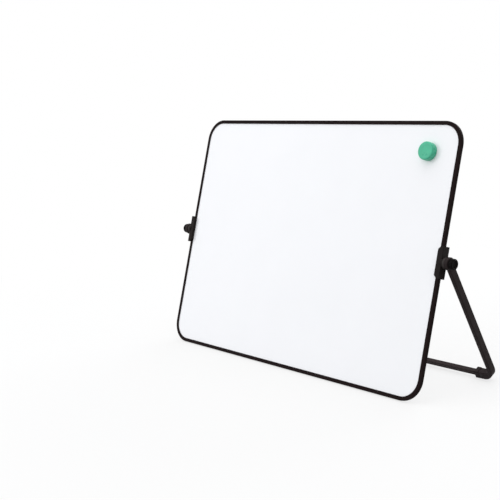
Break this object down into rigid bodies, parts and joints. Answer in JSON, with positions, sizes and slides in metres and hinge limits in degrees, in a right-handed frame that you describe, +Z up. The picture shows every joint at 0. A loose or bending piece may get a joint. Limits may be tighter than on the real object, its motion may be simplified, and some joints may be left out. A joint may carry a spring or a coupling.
{
  "type": "magnetic desk whiteboard easel",
  "caption": "Double-sided magnetic whiteboard in a slim black frame that turns between the arms of a folding desk stand, clamped by side knobs, with a round green magnet.",
  "frame": {"origin": "bottom centre of the whole object's box, on the desk", "axes": "+X along the board's width, +Y from the writing face towards the crossbar behind, +Z up"},
  "size_m": [0.4518, 0.124, 0.285],
  "materials": {
    "white_lacquer": "glossy baked lacquer on steel sheet",
    "core_board": "raw fibreboard",
    "frame_plastic": "satin extruded plastic",
    "clip_plastic": "fine-textured moulded plastic",
    "stand_plastic": "fine-textured moulded plastic",
    "knob_plastic": "satin moulded plastic",
    "spacer_rubber": "matte",
    "bar_paint": "satin powder coat",
    "black_screw": "black oxide",
    "black_washer": "black oxide",
    "zinc_steel": "bright zinc plate",
    "green_plastic": "glossy moulded plastic",
    "ferrite": "pressed ferrite"
  },
  "bodies": {
    "stand": {"arm_left": "stand_plastic", "arm_right": "stand_plastic", "crossbar": "bar_paint", "crossbar_screws": "black_screw"},
    "board": {"board_sheet_front": "white_lacquer", "board_sheet_back": "white_lacquer", "board_core": "core_board", "frame_upper": "frame_plastic", "frame_lower": "frame_plastic", "side_clip_left": "clip_plastic", "side_clip_right": "clip_plastic", "clip_screws_left": "black_screw", "clip_screws_right": "black_screw", "captive_nut_left": "zinc_steel", "captive_nut_right": "zinc_steel", "friction_spacer_left": "spacer_rubber", "friction_spacer_right": "spacer_rubber"},
    "washer_left": {"knob_washer_left": "black_washer"},
    "washer_right": {"knob_washer_right": "black_washer"},
    "knob_left": {"knob_left": "knob_plastic", "knob_stud_left": "zinc_steel"},
    "knob_right": {"knob_right": "knob_plastic", "knob_stud_right": "zinc_steel"},
    "magnet": {"magnet_cap": "green_plastic", "magnet_disc": "ferrite"}
  },
  "joints": [
    {"name": "board_tilt", "type": "hinge", "parent": "stand", "child": "board", "pos_m": [0, -0.01713, 0.1425], "axis": [1, 0, 0], "continuous": true},
    {"name": "knob_left_travel", "type": "slide", "parent": "stand", "child": "washer_left", "axis": [-1, 0, 0], "range_m": [0, 0.0014]},
    {"name": "knob_left_turn", "type": "hinge", "parent": "washer_left", "child": "knob_left", "pos_m": [-0.21, -0.01713, 0.1425], "axis": [-1, 0, 0], "range_deg": [0, 720]},
    {"name": "knob_right_travel", "type": "slide", "parent": "stand", "child": "washer_right", "axis": [1, 0, 0], "range_m": [0, 0.0014]},
    {"name": "knob_right_turn", "type": "hinge", "parent": "washer_right", "child": "knob_right", "pos_m": [0.21, -0.01713, 0.1425], "axis": [1, 0, 0], "range_deg": [0, 720]},
    {"name": "magnet_slide", "type": "slide", "parent": "board", "child": "magnet", "axis": [1, 0, 0], "range_m": [-0.3645, 0.0261]}
  ],
  "couplings": [
    {"joint": "knob_left_turn", "follows": "knob_left_travel", "rad_per_m": 8976},
    {"joint": "knob_right_turn", "follows": "knob_right_travel", "rad_per_m": 8976}
  ]
}
